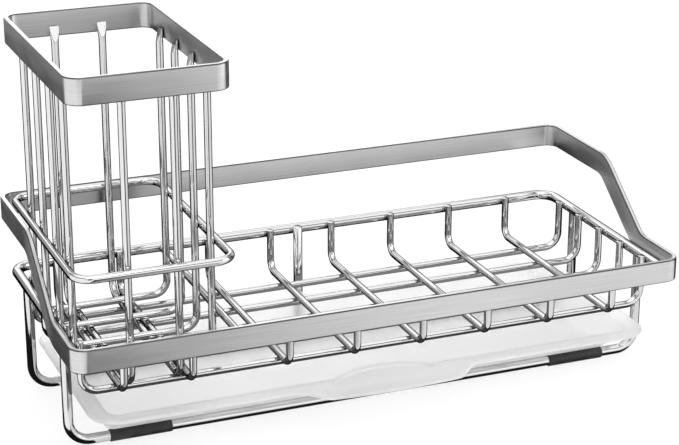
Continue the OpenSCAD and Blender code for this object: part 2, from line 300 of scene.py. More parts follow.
class Nodes:
    """Short hand for building the node tree of a material or of the world."""

    # Nearly all of a noise's values lie between these two.
    NOISE_LOW = 0.3
    NOISE_HIGH = 0.7

    def __init__(self, owner: Material | bpy.types.World) -> None:
        """Starts an empty tree with its output."""
        self.owner = owner
        owner.use_nodes = True
        self.tree = owner.node_tree
        self.tree.nodes.clear()
        kind = "World" if isinstance(owner, bpy.types.World) else "Material"
        self.output = self.add("ShaderNodeOutput" + kind)

    def add(self, kind: str, **values: object) -> bpy.types.Node:
        """Adds a node and sets its properties and inputs.

        Args:
            kind: Blender's name of the node type.
            **values: Properties by name; an input's name has its spaces as underscores.

        Returns:
            The new node.
        """
        node = self.tree.nodes.new(kind)
        for name, value in values.items():
            if hasattr(node, name):
                setattr(node, name, value)
            else:
                node.inputs[name.replace("_", " ")].default_value = value
        return node

    def link(self, source: Socket, target: Socket) -> None:
        """Joins two sockets."""
        self.tree.links.new(source, target)

    def solid(self) -> Socket:
        """Coordinate through the solid, in metres."""
        return self.add("ShaderNodeTexCoord").outputs["Object"]

    def surface(self) -> Socket:
        """Coordinate along and round a swept piece, in metres."""
        return self.add("ShaderNodeUVMap", uv_map=UV_MAP).outputs["UV"]

    def split(self, vector: Socket) -> bpy.types.NodeOutputs:
        """The three parts of a vector, by the names X, Y and Z."""
        parts = self.add("ShaderNodeSeparateXYZ")
        self.link(vector, parts.inputs["Vector"])
        return parts.outputs

    def calculate(self, operation: str, first: Socket, second: Socket | float) -> Socket:
        """Works out one number from two.

        Args:
            operation: Blender's name of the operation.
            first: The first number's socket.
            second: The second number, or its socket.

        Returns:
            The result's socket.
        """
        node = self.add("ShaderNodeMath", operation=operation)
        self.link(first, node.inputs[0])
        if isinstance(second, Socket):
            self.link(second, node.inputs[1])
        else:
            node.inputs[1].default_value = second
        return node.outputs["Value"]

    def noise(self, vector: Socket, cells: Place, detail: float = 2.0) -> Socket:
        """Noise over a stretched coordinate.

        Args:
            vector: The coordinate, in metres.
            cells: Cells per metre along each axis.
            detail: Number of finer layers.

        Returns:
            The noise's value, about 0.5 on average.
        """
        mapping = self.add("ShaderNodeMapping")
        mapping.inputs["Scale"].default_value = cells
        self.link(vector, mapping.inputs["Vector"])
        texture = self.add("ShaderNodeTexNoise", Scale=1.0, Detail=detail, Roughness=0.55)
        self.link(mapping.outputs["Vector"], texture.inputs["Vector"])
        return texture.outputs["Fac"]

    def ramp(self, value: Socket, stops: Sequence[tuple[float, Colour]]) -> Socket:
        """Colours between given places of a value.

        Args:
            value: The value that the colours follow.
            stops: (place, colour) pairs, in order.

        Returns:
            The colour's socket.
        """
        ramp = self.add("ShaderNodeValToRGB")
        elements = ramp.color_ramp.elements
        while len(elements) < len(stops):
            elements.new(0.5)
        for element, (place, colour) in zip(elements, stops):
            element.position = place
            element.color = (*colour, 1)
        self.link(value, ramp.inputs["Fac"])
        return ramp.outputs["Color"]

    def greys(self, value: Socket, stops: Greys) -> Socket:
        """Greys between given places of a value, from (place, grey) pairs."""
        return self.ramp(value, [(place, (grey, grey, grey)) for place, grey in stops])

    def tones(self, value: Socket, dark: Colour, light: Colour) -> Socket:
        """Colour from dark to light over a noise's values."""
        return self.ramp(value, ((self.NOISE_LOW, dark), (self.NOISE_HIGH, light)))

    def spread(self, value: Socket, low: float, high: float) -> Socket:
        """Number from low to high over a noise's values."""
        spread = self.add("ShaderNodeMapRange")
        spread.inputs["From Min"].default_value = self.NOISE_LOW
        spread.inputs["From Max"].default_value = self.NOISE_HIGH
        spread.inputs["To Min"].default_value = low
        spread.inputs["To Max"].default_value = high
        self.link(value, spread.inputs["Value"])
        return spread.outputs["Result"]

    def bump(self, value: Socket, strength: float, distance: float) -> Socket:
        """Surface normal raised by a value."""
        bump = self.add("ShaderNodeBump", Strength=strength, Distance=distance)
        self.link(value, bump.inputs["Height"])
        return bump.outputs["Normal"]

    def finish(
        self, shader: bpy.types.Node, colour: Socket, roughness: Socket, normal: Socket
    ) -> Material:
        """Joins a surface's values to its shader, and the shader to the output.

        Args:
            shader: The surface's shader.
            colour: Its colour.
            roughness: Its roughness.
            normal: Its normal.

        Returns:
            The finished material.
        """
        self.link(colour, shader.inputs["Base Color"])
        self.link(roughness, shader.inputs["Roughness"])
        self.link(normal, shader.inputs["Normal"])
        self.link(shader.outputs["BSDF"], self.output.inputs["Surface"])
        return self.owner

    def finish_mixed(self, share: Socket, first: Socket, second: Socket) -> Material:
        """Joins a mix of two shaders to the output.

        Args:
            share: Share of the second shader.
            first: The first shader.
            second: The second shader.

        Returns:
            The finished material.
        """
        mix = self.add("ShaderNodeMixShader")
        self.link(share, mix.inputs["Fac"])
        self.link(first, mix.inputs[1])
        self.link(second, mix.inputs[2])
        self.link(mix.outputs["Shader"], self.output.inputs["Surface"])
        return self.owner


@dataclass(frozen=True)
class PolishedSteel:
    """Bright drawn wire: nearly a mirror, with faint draw lines along it.

    Attributes:
        dark: Colour at the bottom of the draw lines.
        light: Colour at the top of the draw lines.
        grazing: Tint of what the wire mirrors towards its outline.
        roughness: Lowest and highest roughness.
    """

    dark: Colour = (0.60, 0.60, 0.605)
    light: Colour = (0.68, 0.68, 0.685)
    grazing: tuple[float, float, float, float] = (0.0, 0.0, 0.0, 1.0)
    roughness: tuple[float, float] = (0.07, 0.10)

    def material(self) -> Material:
        """Builds the material."""
        nodes = Nodes(bpy.data.materials.new("polished_steel"))
        draw_lines = nodes.noise(nodes.surface(), cells=(12, 900, 1))
        clouds = nodes.noise(nodes.solid(), cells=(55, 55, 55))
        return nodes.finish(
            nodes.add("ShaderNodeBsdfPrincipled", Metallic=1.0, Specular_Tint=self.grazing),
            colour=nodes.tones(draw_lines, self.dark, self.light),
            roughness=nodes.spread(clouds, *self.roughness),
            normal=nodes.bump(draw_lines, strength=0.02, distance=0.01 * MM),
        )


@dataclass(frozen=True)
class SatinStrap:
    """Flat strap with a fine grain along its length, and painted dark shade on its rolled edges in place
    of the dark reflection they show.

    Attributes:
        name: Name of the material.
        width: Width of the strap.
        thickness: Thickness of the strap.
        edge: Radius of its rolled edges.
        dark: Colour at the bottom of the grain.
        light: Colour at the top of the grain.
        rolled: Painted dark shade laid on the rolled edges, in place of their dark reflection.
        roughness: Lowest and highest roughness.
        edge_fade: How far the painted edge shade fades in, from either side.
        edge_reach: Distance from the middle of the thin side that the colours are laid over.
    """

    name: str
    width: float
    thickness: float = STRAP_THICKNESS
    edge: float = STRAP_EDGE
    dark: Colour = (0.50, 0.50, 0.505)
    light: Colour = (0.64, 0.64, 0.645)
    # Painted shade: the rolled edges get this dark colour in place of the dark reflection they show.
    rolled: tuple[float, float, float, float] = (0.10, 0.10, 0.102, 1.0)
    roughness: tuple[float, float] = (0.29, 0.35)
    edge_fade: float = 0.1 * MM
    edge_reach: float = 4 * MM

    def painted_edge_share(self, nodes: Nodes, surface: Socket) -> Socket:
        """Share of the painted dark edge shade: whole on the four rounded edges, none on the flats.

        Args:
            nodes: The material's nodes.
            surface: The UV map, whose second value runs round the strap.

        Returns:
            The share's socket.
        """
        quarter = math.pi / 2 * self.edge
        flat = self.thickness / 2 - self.edge
        half_girth = 2 * quarter + 2 * flat + self.width - 2 * self.edge
        shifted = nodes.calculate("SUBTRACT", nodes.split(surface)["Y"], quarter + flat)
        away = nodes.calculate("PINGPONG", shifted, half_girth / 2)
        scaled = nodes.calculate("DIVIDE", away, self.edge_reach)
        stops = (
            (flat - self.edge_fade / 2, 0.0),
            (flat + self.edge_fade, 1.0),
            (flat + quarter - self.edge_fade, 1.0),
            (flat + quarter, 0.0),
        )
        return nodes.greys(scaled, [(place / self.edge_reach, share) for place, share in stops])

    def material(self) -> Material:
        """Builds the material."""
        nodes = Nodes(bpy.data.materials.new(self.name))
        surface = nodes.surface()
        shader = nodes.add(
            "ShaderNodeBsdfPrincipled", Metallic=1.0, Anisotropic=0.85, Anisotropic_Rotation=0.25
        )
        tangent = nodes.add("ShaderNodeTangent", direction_type="UV_MAP", uv_map=UV_MAP)
        nodes.link(tangent.outputs["Tangent"], shader.inputs["Tangent"])
        grain = nodes.noise(surface, cells=(25, 3500, 1), detail=4.0)
        patches = nodes.noise(surface, cells=(60, 300, 1))
        # The grain's tones, with the painted dark edge shade laid over the rolled edges.
        tone = nodes.add("ShaderNodeMix", data_type="RGBA")
        nodes.link(self.painted_edge_share(nodes, surface), tone.inputs["Factor"])
        nodes.link(nodes.tones(grain, self.dark, self.light), tone.inputs["A"])
        tone.inputs["B"].default_value = self.rolled
        return nodes.finish(
            shader,
            colour=tone.outputs["Result"],
            roughness=nodes.spread(patches, *self.roughness),
            normal=nodes.bump(grain, strength=0.05, distance=0.03 * MM),
        )


@dataclass(frozen=True)
class BlackRubber:
    """Matt sleeve with a fine moulded grain and a little dust.

    Attributes:
        dark: Colour of the clean rubber.
        light: Colour where dust lies.
        roughness: Lowest and highest roughness.
    """

    dark: Colour = (0.018, 0.018, 0.020)
    light: Colour = (0.034, 0.034, 0.036)
    roughness: tuple[float, float] = (0.5, 0.65)

    def material(self) -> Material:
        """Builds the material."""
        nodes = Nodes(bpy.data.materials.new("black_rubber"))
        solid = nodes.solid()
        grain = nodes.noise(solid, cells=(1500, 1500, 1500))
        dust = nodes.noise(solid, cells=(160, 160, 160))
        return nodes.finish(
            nodes.add("ShaderNodeBsdfPrincipled", Specular_IOR_Level=0.35),
            colour=nodes.tones(dust, self.dark, self.light),
            roughness=nodes.spread(dust, *self.roughness),
            normal=nodes.bump(grain, strength=0.25, distance=0.1 * MM),
        )


@dataclass(frozen=True)
class FrostedPlastic:
    """Pale moulded plastic that lets a blurred view of what is behind it through.

    Attributes:
        dark: Darker of the two near tones that the flow of the plastic leaves.
        light: Lighter of the two.
        clear_share: Share of the light that passes into the plastic.
        bending: How strongly it bends light, kept low for a thin wall.
        roughness: Lowest and highest roughness.
    """

    dark: Colour = (0.965, 0.965, 0.967)
    light: Colour = (0.975, 0.975, 0.977)
    clear_share: float = 0.8
    bending: float = 1.25
    roughness: tuple[float, float] = (0.38, 0.48)

    def material(self) -> Material:
        """Builds the material."""
        nodes = Nodes(bpy.data.materials.new("frosted_plastic"))
        solid = nodes.solid()
        grain = nodes.noise(solid, cells=(900, 900, 900))
        flow = nodes.noise(solid, cells=(12, 30, 30))
        shader = nodes.add(
            "ShaderNodeBsdfPrincipled", IOR=self.bending, Transmission_Weight=self.clear_share
        )
        return nodes.finish(
            shader,
            colour=nodes.tones(flow, self.dark, self.light),
            roughness=nodes.spread(flow, *self.roughness),
            normal=nodes.bump(grain, strength=0.08, distance=0.1 * MM),
        )


@dataclass(frozen=True)
class PaleFloor:
    """Plain pale sheet that the caddy stands on.

    Attributes:
        dark: Darker of the sheet's two near tones.
        light: Lighter of the two.
        white_share: Share of plain white in what is seen of the sheet. The rest takes the shadows.
    """

    dark: Colour = (0.945, 0.945, 0.945)
    light: Colour = (0.955, 0.955, 0.955)
    white_share: float = 0.82

    def material(self) -> Material:
        """Builds the material."""
        nodes = Nodes(bpy.data.materials.new("pale_floor"))
        shader = nodes.add("ShaderNodeBsdfPrincipled", Roughness=0.9, Specular_IOR_Level=0.0)
        clouds = nodes.noise(nodes.solid(), cells=(3, 3, 3))
        nodes.link(nodes.tones(clouds, self.dark, self.light), shader.inputs["Base Color"])
        path = nodes.add("ShaderNodeLightPath").outputs
        seen = path["Is Camera Ray"]
        for name in ("Is Glossy Ray", "Is Transmission Ray"):
            seen = nodes.calculate("MAXIMUM", seen, path[name])
        share = nodes.calculate("MULTIPLY", seen, self.white_share)
        white = nodes.add("ShaderNodeEmission", Strength=1.0)
        return nodes.finish_mixed(share, shader.outputs["BSDF"], white.outputs["Emission"])


@dataclass
class Finishes:
    """The caddy's materials, each built once."""

    wire: Material = field(default_factory=lambda: PolishedSteel().material())
    band: Material = field(default_factory=lambda: SatinStrap("satin_band", GUARD_WIDTH).material())
    holder_band: Material = field(
        default_factory=lambda: SatinStrap("satin_holder_band", HOLDER_WIDTH).material()
    )
    rubber: Material = field(default_factory=lambda: BlackRubber().material())
    plastic: Material = field(default_factory=lambda: FrostedPlastic().material())


def dress(piece: Piece, material: Material, body: str, node: str) -> None:
    """Gives a piece its material and its place on the model.

    Args:
        piece: The new piece.
        material: Its material.
        body: The moving body that it rides on.
        node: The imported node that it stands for.
    """
    piece.data.materials.clear()
    piece.data.materials.append(material)
    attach(piece, body)
    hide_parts(node)
    LOG.info("%s rides on %s", piece.name, body)


@dataclass
class UWire:
    """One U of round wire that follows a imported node.

    Attributes:
        node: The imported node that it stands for.
        along: Direction of its low run.
        bend: Bend radius at the middle line.
        gauge: Diameter of the wire.
        end: How both tops end.
        cut_tip: Share of the gauge at the very top of a cut end.
        press_height: Height of a pressed end.
        press_width: Width of a pressed end.
        press_tip: Thickness of a pressed end at its top.
        press_spread: How many times faster a pressed end widens than it thins.
        press_nose: Share of a pressed end's width at its very top.
        cut_rings: Distances below the top of a cut end's rings.
        press_rings: The same for a pressed end, as shares of its height.
    """

    node: str
    along: Along
    bend: float
    gauge: float = 3.2 * MM
    end: WireEnd = WireEnd.CUT
    cut_tip: float = 0.82
    press_height: float = 6.6 * MM
    press_width: float = 3.9 * MM
    press_tip: float = 1.2 * MM
    press_spread: float = 3.0
    press_nose: float = 0.9
    cut_rings: tuple[float, ...] = (0.0, 0.16 * MM, 0.4 * MM)
    press_rings: tuple[float, ...] = (0.0, 0.05, 0.2, 0.4, 0.6, 0.8, 0.9, 1.0)

    def drops(self) -> list[float]:
        """Distances below a top at which the end's rings lie."""
        if self.end is WireEnd.CUT:
            return list(self.cut_rings)
        return [share * self.press_height for share in self.press_rings]

    def end_section(self, order: int) -> Ring:
        """Ring of an end: drawn in at a cut top, pressed flat on one side at a pressed one.

        Args:
            order: The ring's number, from the top down.

        Returns:
            The ring's points.
        """
        radius = self.gauge / 2
        if self.end is WireEnd.CUT:
            return circle_ring(radius * (self.cut_tip if order == 0 else 1.0))
        left = 1 - self.press_rings[order]
        cut = (self.gauge - self.press_tip) * left
        wide = self.gauge + (self.press_width - self.gauge) * min(1.0, self.press_spread * left)
        scale = self.press_nose if order == 0 else 1.0
        return [
            (wide / 2 * a * scale, min(radius * b, radius - cut))
            for a, b in circle_ring(1.0, FINE_STEPS)
        ]

    def build(self) -> Piece:
        """Sweeps the wire through the node's box."""
        low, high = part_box(self.node)
        axis = Vector((1, 0, 0)) if self.along is Along.LENGTH else Vector((0, 1, 0))
        across = Vector((0, 0, 1)).cross(axis)
        middle = (low + high) / 2
        base = Vector((middle.x, middle.y, low.z + self.gauge / 2))
        span, rise = (high - low).dot(axis) - self.gauge, high.z - base.z
        top = [(-span / 2, rise - drop) for drop in self.drops()]
        bends = u_outline(span, rise, self.bend)[1:-1]
        places = top + bends + [(-a, z) for a, z in reversed(top)]
        points = [base + axis * a + Vector((0, 0, z)) for a, z in places]
        count = len(points)
        steps = WIRE_STEPS if self.end is WireEnd.CUT else FINE_STEPS

        def section(i: int) -> Ring:
            """Ring at a place, counted from the nearer top."""
            order = min(i, count - 1 - i)
            return self.end_section(order) if order < len(top) else circle_ring(self.gauge / 2, steps)

        return Sweep(points, [across] * count).build(self.node + "_wire", section)


@dataclass
class RoundLoop:
    """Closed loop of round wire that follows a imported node.

    Attributes:
        node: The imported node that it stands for.
        corner: Corner radius at the middle line.
    """

    node: str
    corner: float

    def build(self) -> Piece:
        """Sweeps the loop through the node's box."""
        low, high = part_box(self.node)
        gauge = high.z - low.z
        middle, size = (low + high) / 2, high - low
        pairs = loop_outline(size.x - gauge, size.y - gauge, self.corner)
        sweep = Sweep([middle + place for place, _ in pairs], [out for _, out in pairs], closed=True)
        return sweep.build(self.node + "_loop", lambda i: circle_ring(gauge / 2, LOOP_STEPS))


@dataclass
class FlatStrap:
    """Closed flat strap on edge: level, or climbing from a low front to a high back.

    Attributes:
        node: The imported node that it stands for.
        corner: Outer corner radius, seen from above.
        width: Width of the strap.
        thickness: Thickness of the strap.
        edge: Radius of its rolled edges.
        front_run: Level stretch at the front, as far as the top edge's first corner.
        slope_run: Depth of the climb, or zero for a level strap.
        bend: Radius of the two bends of the climb, at the middle line.
        bend_steps: Stretches in each of those bends.
    """

    node: str
    corner: float
    width: float
    thickness: float = STRAP_THICKNESS
    edge: float = STRAP_EDGE
    front_run: float = 0.0
    slope_run: float = 0.0
    bend: float = 15 * MM
    bend_steps: int = 10

    def climb_outline(self, rise: float) -> Ring:
        """Middle line of the climb as (depth from the front, height over the front).

        Args:
            rise: How much higher the back is.

        Returns:
            Points of both bends, or none for a level strap.
        """
        if not self.slope_run:
            return []
        angle = math.atan2(rise, self.slope_run)
        shift = (self.width / 2 - self.bend) * math.tan(angle / 2)
        first = self.front_run + shift
        last = self.front_run + self.slope_run + self.width * math.tan(angle / 2) - shift
        turns = [angle * k / self.bend_steps for k in range(self.bend_steps + 1)]
        bends = [(self.bend * math.sin(a), self.bend * (1 - math.cos(a))) for a in turns]
        low = [(first + run, up) for run, up in bends]
        return low + [(last - run, rise - up) for run, up in reversed(bends)]

    def build(self) -> Piece:
        """Sweeps the strap through the node's box."""
        low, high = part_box(self.node)
        middle, size = (low + high) / 2, high - low
        rise, half = size.z - self.width, self.thickness / 2
        front = low.z + self.width / 2
        pairs = loop_outline(size.x - self.thickness, size.y - self.thickness, self.corner - half)
        climb = self.climb_outline(rise)
        points, sides = [], []

        def add_climb(x: float, side: int, run: Iterable[tuple[float, float]]) -> None:
            """Adds the climb at one end of the strap."""
            for depth, up in run:
                points.append(Vector((x, low.y + depth, front + up)))
                sides.append(Vector((side, 0, 0)))

        for number, (place, out) in enumerate(pairs):
            y = middle.y + place.y
            up = rise if climb and y > middle.y else 0.0
            points.append(Vector((middle.x + place.x, y, front + up)))
            sides.append(out)
            if number == len(pairs) // 2 - 1:
                add_climb(low.x + half, -1, reversed(climb))
        add_climb(high.x - half, 1, climb)
        ring = soft_bar_ring(self.thickness, self.width, self.edge)
        return Sweep(points, sides, closed=True).build(self.node + "_strap", lambda i: ring)


@dataclass
class FootSleeve:
    """Rubber sleeve on a runner, with soft ends and a flat where it stands.

    Attributes:
        node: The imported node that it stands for.
        lip: Radius of the soft ends.
        bore: Radius of the hole for the runner.
        lip_steps: Stretches in each soft end.
    """

    node: str
    lip: float = 0.35 * MM
    bore: float = 2.12 * MM
    lip_steps: int = 4

    def build(self) -> Piece:
        """Turns the sleeve's section round the runner, inside the node's box."""
        low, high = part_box(self.node)
        radius = (high.y - low.y) / 2
        centre = Vector((0, (low.y + high.y) / 2, high.z - radius))
        profile = [(low.x, self.bore), (low.x, radius - self.lip)]
        for k in range(1, self.lip_steps + 1):
            a = math.pi / 2 * k / self.lip_steps
            profile.append((low.x + self.lip * (1 - math.cos(a)), radius - self.lip * (1 - math.sin(a))))
        profile += [(low.x + high.x - x, r) for x, r in reversed(profile)]
        verts = []
        for x, r in profile:
            for across, up in circle_ring(r, FINE_STEPS):
                verts.append(Vector((x, centre.y + across, max(centre.z + up, low.z))))
        faces = ring_faces(len(profile), FINE_STEPS, closed=True)
        return make_object(self.node + "_rubber", verts, faces)


@dataclass
class WireWork:
    """What the rack and the holder share.

    Attributes:
        finishes: The caddy's materials.
        body: The moving body that their pieces ride on.
    """

    finishes: Finishes
    body: str

    def add_strap(self, strap: FlatStrap, material: Material) -> None:
        """Builds and dresses a strap."""
        dress(strap.build(), material, self.body, strap.node)

    def add_wires(self, *wires: UWire | RoundLoop) -> None:
        """Builds and dresses round wires."""
        for wire in wires:
            self.dress_wire(wire.build(), wire.node)

    def dress_wire(self, piece: Piece, node: str) -> None:
        """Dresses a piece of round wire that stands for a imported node."""
        dress(piece, self.finishes.wire, self.body, node)


@dataclass
class Rack(WireWork):
    """The welded rack: guard band, rim, wires, stand and foot sleeves.

    Attributes:
        body: The moving body that its pieces ride on.
        band_corner: Outer corner radius of the guard band.
        front_run: The band's level stretch at the front.
        slope_run: Depth of the band's climb.
        rim_corner: Corner radius of the rim.
        cross_bend: Bend radius of the wires that run from front to back.
        long_bend: Bend radius of the wires that run along.
        stand_bend: Bend radius of the stand.
        stand_gauge: Diameter of the stand's wire.
        leg_tip: Height of the drawn-in top of the middle leg.
        leg_tip_share: Share of its gauge at that top.
        bend_steps: Stretches in the middle leg's bend.
        cross_wires: Number of wires that run from front to back.
        long_wires: Number of wires that run along.
        sleeves: Number of foot sleeves.
    """

    body: str = "rack"
    band_corner: float = 7 * MM
    front_run: float = 33 * MM
    slope_run: float = 34.5 * MM
    rim_corner: float = 8 * MM
    cross_bend: float = 5 * MM
    long_bend: float = 7 * MM
    stand_bend: float = 9 * MM
    stand_gauge: float = 4.2 * MM
    leg_tip: float = 0.3 * MM
    leg_tip_share: float = 0.85
    bend_steps: int = 12
    cross_wires: int = 8
    long_wires: int = 5
    sleeves: int = 4

    def build(self) -> None:
        """Builds and dresses every piece of the rack."""
        band = FlatStrap(
            "guard_band",
            self.band_corner,
            GUARD_WIDTH,
            front_run=self.front_run,
            slope_run=self.slope_run,
        )
        self.add_strap(band, self.finishes.band)
        self.add_wires(RoundLoop("basket_rim", self.rim_corner))
        self.build_divider()
        for node in numbered("cross_wire", self.cross_wires):
            self.add_wires(UWire(node, Along.DEPTH, self.cross_bend))
        for node in numbered("long_wire", self.long_wires):
            self.add_wires(UWire(node, Along.LENGTH, self.long_bend))
        for node in ("stand_front_wire", "stand_back_wire"):
            self.add_wires(UWire(node, Along.LENGTH, self.stand_bend, gauge=self.stand_gauge))
        self.build_mid_leg()
        for node in numbered("foot_sleeve", self.sleeves):
            dress(FootSleeve(node).build(), self.finishes.rubber, self.body, node)

    def build_divider(self) -> None:
        """Builds the straight bar across the rim."""
        low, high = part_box("bay_divider")
        middle, radius = (low + high) / 2, (high.x - low.x) / 2
        points = [Vector((middle.x, y, middle.z)) for y in (low.y, middle.y, high.y)]
        bar = Sweep(points, [Vector((1, 0, 0))] * len(points))
        self.dress_wire(bar.build("bay_divider_bar", lambda i: circle_ring(radius)), "bay_divider")

    def build_mid_leg(self) -> None:
        """Builds the leg that bends forward from the back rim onto the back runner."""
        low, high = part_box("stand_mid_leg")
        radius, bend = (high.x - low.x) / 2, self.stand_bend
        x, y, z = (low.x + high.x) / 2, high.y - radius, low.z + radius
        points = [Vector((x, y, high.z)), Vector((x, y, high.z - self.leg_tip))]
        for k in range(self.bend_steps + 1):
            a = math.pi / 2 * k / self.bend_steps
            points.append(Vector((x, y - bend * (1 - math.cos(a)), z + bend * (1 - math.sin(a)))))
        points.append(Vector((x, low.y, z)))
        shares = [self.leg_tip_share] + [1.0] * (len(points) - 1)
        leg = Sweep(points, [Vector((1, 0, 0))] * len(points))
        piece = leg.build("stand_mid_leg_wire", lambda i: circle_ring(radius * shares[i]))
        self.dress_wire(piece, "stand_mid_leg")


@dataclass
class Holder(WireWork):
    """The tall holder that lifts out: strap, ring and wires with pressed ends.

    Attributes:
        body: The moving body that its pieces ride on.
        band_corner: Outer corner radius of its strap.
        ring_corner: Corner radius of its ring.
        wire_bend: Bend radius of its wires.
        long_wires: Number of wires that run along.
        cross_wires: Number of wires that run from front to back.
    """

    body: str = "holder"
    band_corner: float = 7 * MM
    ring_corner: float = 8 * MM
    wire_bend: float = 6.5 * MM
    long_wires: int = 4
    cross_wires: int = 2

    def build(self) -> None:
        """Builds and dresses every piece of the holder."""
        band = FlatStrap("holder_band", self.band_corner, HOLDER_WIDTH)
        self.add_strap(band, self.finishes.holder_band)
        self.add_wires(RoundLoop("holder_ring", self.ring_corner))
        for node in numbered("holder_long_wire", self.long_wires):
            self.add_wires(UWire(node, Along.LENGTH, self.wire_bend, end=WireEnd.PRESSED))
        for node in numbered("holder_cross_wire", self.cross_wires):
            self.add_wires(UWire(node, Along.DEPTH, self.wire_bend, end=WireEnd.PRESSED))


@dataclass(frozen=True)
class TrayRing:
    """One ring of the tray's loft.

    Attributes:
        inset: Distance in from the outline at the sides and the back.
        front: Distance in from the front edge.
        height: Height over the tray's underside.
        grip: Distance and height at a place along the middle of the front, where they differ.
    """

    inset: float
    front: float
    height: float
    grip: Callable[[float], tuple[float, float]] | None = None


def even_ring(
    inset: float, height: float, grip: Callable[[float], tuple[float, float]] | None = None
) -> TrayRing:
    """Ring that lies as far in at the front as at the sides and the back."""
    return TrayRing(inset, inset, height, grip)


@dataclass
class DripTray:
    """The frosted tray: a flange with a grip lip round a well that slopes up to the front.

    Attributes:
        finishes: The caddy's materials.
        corner: Outer corner radius.
        least_corner: Smallest corner radius of a ring.
        flange: Width of the flange.
        wall: Thickness of the plastic.
        lean: How far the side and back walls lean in towards the floor.
        front_lean: How far the front wall slopes in towards the floor.
        floor_edge: Radius of the edge round the floor.
        floor_shares: Places of the rings round that edge, as shares of its turn.
        soft: Radius of the flange's outer edge.
        lip_reach: How far the lip stands out of the front edge.
        lip_bow: How much the lip's front edge bows out in the middle.
        lip_flat: Half of the lip's straight part.
        lip_sweep: Width of the sweep at each end of the lip.
        recess_half: Half of the thumb recess's width.
        recess_run: From the recess's straight side back to the top of its curved side.
        recess_depth: Depth of the thumb recess.
        recess_fade: Width over which the recess's ends run out.
        recess_in: From the front edge in to the recess's straight side.
        recess_step: Width of the steps down into the recess.
        shelf_rim: Width of the shelf round the recess's curved side.
        corner_steps: Stretches in each corner.
        half_row: Places on each half of the row along the middle of the front.
    """

    finishes: Finishes
    corner: float = 13 * MM
    least_corner: float = 2.5 * MM
    flange: float = 6 * MM
    wall: float = 1.6 * MM
    lean: float = 4 * MM
    front_lean: float = 15 * MM
    floor_edge: float = 3 * MM
    floor_shares: tuple[float, ...] = (0.0, 0.34, 0.67, 1.0)
    soft: float = 0.5 * MM
    lip_reach: float = 11.2 * MM
    lip_bow: float = 1.3 * MM
    lip_flat: float = 28 * MM
    lip_sweep: float = 13 * MM
    recess_half: float = 24 * MM
    recess_run: float = 9.6 * MM
    recess_depth: float = 0.9 * MM
    recess_fade: float = 1.2 * MM
    recess_in: float = 2.6 * MM
    recess_step: float = 0.25 * MM
    shelf_rim: float = 2.4 * MM
    corner_steps: int = 10
    half_row: int = 44

    def lip(self, x: float) -> float:
        """How far the lip stands out at a place along the front edge."""
        t = min(max((self.lip_flat + self.lip_sweep - abs(x)) / self.lip_sweep, 0.0), 1.0)
        return (self.lip_reach - self.lip_bow * (x / self.lip_flat) ** 2) * t * t * (3 - 2 * t)

    def arc(self, x: float, margin: float = 0.0) -> float:
        """Distance from the front edge to the recess's curved side, or to a line round it.

        Args:
            x: Place along the front edge.
            margin: Distance outside the curved side.

        Returns:
            The distance, never less than that of the straight side.
        """
        radius = (self.recess_half**2 + self.recess_run**2) / (2 * self.recess_run)
        square = max((radius + margin) ** 2 - x * x, 0.0)
        return self.recess_in + max(self.recess_run - radius + math.sqrt(square), 0.0)

    def wall_turn(self, lean: float, radius: float, height: float) -> float:
        """Angle of a leaning wall that runs into a round edge at the floor.

        Args:
            lean: How far the wall leans in.
            radius: Radius of the round edge.
            height: Height of the wall's top over the middle of the round edge.

        Returns:
            The wall's angle from level, in radians.
        """
        run = lean + radius
        return math.atan2(height, run) + math.asin(radius / math.hypot(height, run))

    def floor_rings(self, radius: float) -> list[TrayRing]:
        """Rings round the floor's edge, from the flat of the floor up to the walls."""
        centre = self.flange + self.floor_edge + self.lean
        front_centre = self.flange + self.floor_edge + self.front_lean
        height = self.rim_base() - self.floor_edge
        side = self.wall_turn(self.lean, radius, height)
        front = self.wall_turn(self.front_lean, radius, height)
        rings = []
        for share in self.floor_shares:
            inset = centre - radius * math.sin(side * share)
            low = front_centre - radius * math.sin(front * share)
            up = self.floor_edge - radius * math.cos((side + front) / 2 * share)
            rings.append(TrayRing(inset, low, up))
        return rings

    def rim_base(self) -> float:
        """Height of the flange's underside."""
        low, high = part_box("drip_tray")
        return high.z - low.z - self.wall

    def edge_ring(self, inset: float, height: float) -> TrayRing:
        """Ring of the flange's outer edge, which follows the lip."""
        return even_ring(inset, height, lambda x: (inset - self.lip(x), height))

    def grip_rings(self, top: float) -> list[TrayRing]:
        """Rings across the flange's top, round the thumb recess and down the inner wall.

        Args:
            top: Height of the flange's top.

        Returns:
            The rings, from the outer edge inwards.
        """
        inner, base = self.flange + self.wall, self.rim_base()
        turn = self.wall_turn(self.front_lean, self.floor_edge - self.wall, base - self.floor_edge)

        def floor(x: float) -> float:
            """Height of the recess's floor."""
            fade = min(max((self.recess_half - abs(x)) / self.recess_fade, 0.0), 1.0)
            return top - self.recess_depth * fade

        def shelf(x: float) -> float:
            """Distance from the front edge to the shelf's inner edge."""
            return max(inner, self.arc(x, self.shelf_rim))

        def slope(y: float) -> float:
            """Height of the front wall's inner side."""
            return base - (y - inner) * math.tan(turn)

        start, step = self.recess_in, self.recess_step
        low = start + 2 * step
        return [
            even_ring(start - step, top),
            even_ring(start, top),
            even_ring(start + step, top, lambda x: (start + step, floor(x))),
            even_ring(low, top, lambda x: (max(self.arc(x) - 2 * step, low), floor(x))),
            even_ring(start + 4 * step, top, lambda x: (max(self.arc(x), start + 3 * step), top)),
            even_ring(inner - self.soft, top, lambda x: (shelf(x) - self.soft, top)),
            even_ring(inner, top - self.soft, lambda x: (shelf(x), top - self.soft)),
            even_ring(inner + step, base, lambda x: (shelf(x) + step, slope(shelf(x) + step))),
        ]

    def rings(self) -> list[TrayRing]:
        """All rings, from the middle of the underside round the flange to the inner floor."""
        base, top = self.rim_base(), self.rim_base() + self.wall
        outer = self.floor_rings(self.floor_edge)
